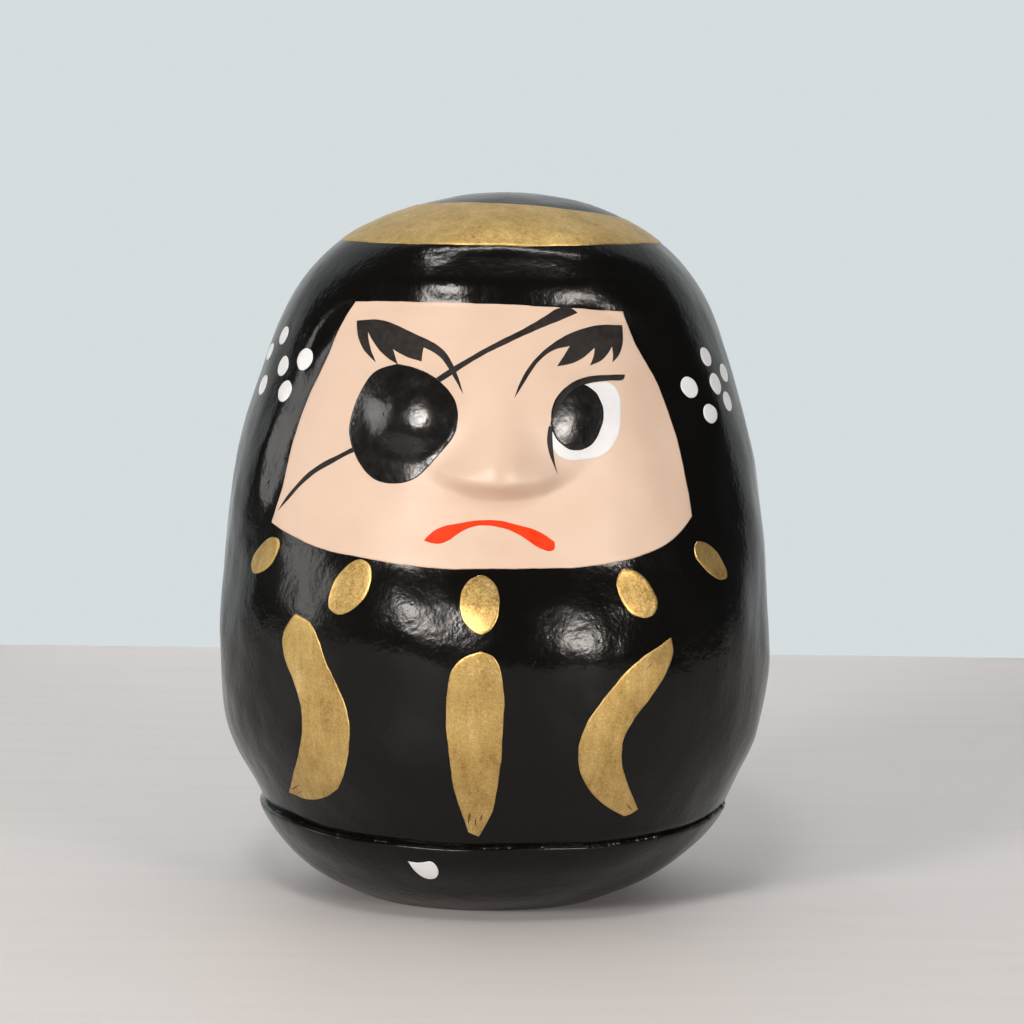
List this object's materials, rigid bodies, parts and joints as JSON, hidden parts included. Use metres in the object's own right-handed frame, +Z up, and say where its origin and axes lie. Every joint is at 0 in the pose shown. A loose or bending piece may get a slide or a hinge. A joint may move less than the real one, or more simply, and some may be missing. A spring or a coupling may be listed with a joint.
{
  "type": "daruma doll",
  "caption": "Round-bottomed paper daruma doll, black with a flesh-coloured scowling face, one eye under a painted patch, gold robe strokes and white blossoms.",
  "frame": {"origin": "middle of the flat under the weighted dish, on the surface that the doll stands on", "axes": "+Z up through the crown, -Y out of the face, +X to the right of someone who looks at the face"},
  "size_m": [0.13, 0.1226, 0.165],
  "materials": {
    "black_paper": "moulded paper under semi-gloss black paint, lightly pitted",
    "black_dish": "clay-filled dish under the same semi-gloss black paint",
    "bare_paper": "unpainted absorbent paper",
    "clay": "dry unfired clay",
    "glue": "hardened glue under black paint",
    "face_paint": "satin flesh-coloured paint",
    "gold_paint": "brushed metallic gold paint, satin",
    "white_paint": "thick white paint, semi-gloss",
    "red_paint": "orange-red paint, satin",
    "black_ink": "glossy black brush paint"
  },
  "bodies": {
    "root": {"ballast": "clay", "base_dish": "black_dish", "blossom_left_1": "white_paint", "blossom_left_2": "white_paint", "blossom_left_3": "white_paint", "blossom_left_4": "white_paint", "blossom_left_5": "white_paint", "blossom_left_6": "white_paint", "blossom_right_1": "white_paint", "blossom_right_2": "white_paint", "blossom_right_3": "white_paint", "blossom_right_4": "white_paint", "blossom_right_5": "white_paint", "blossom_right_6": "white_paint", "brow_band": "gold_paint", "collar_oval_1": "gold_paint", "collar_oval_2": "gold_paint", "collar_oval_3": "gold_paint", "collar_oval_4": "gold_paint", "collar_oval_5": "gold_paint", "eye_patch": "black_ink", "eye_white": "white_paint", "eyebrow_over_eye": "black_ink", "eyebrow_over_patch": "black_ink", "face_coat": "face_paint", "glue_bead": "glue", "joint_tape": "bare_paper", "lower_lid": "black_ink", "mouth": "red_paint", "pupil": "black_ink", "robe_stroke_left": "gold_paint", "robe_stroke_middle": "gold_paint", "robe_stroke_right": "gold_paint", "shell_back": "black_paper", "shell_front": "black_paper", "strap_lower": "black_ink", "strap_upper": "black_ink", "upper_lid": "black_ink"}
  },
  "joints": []
}
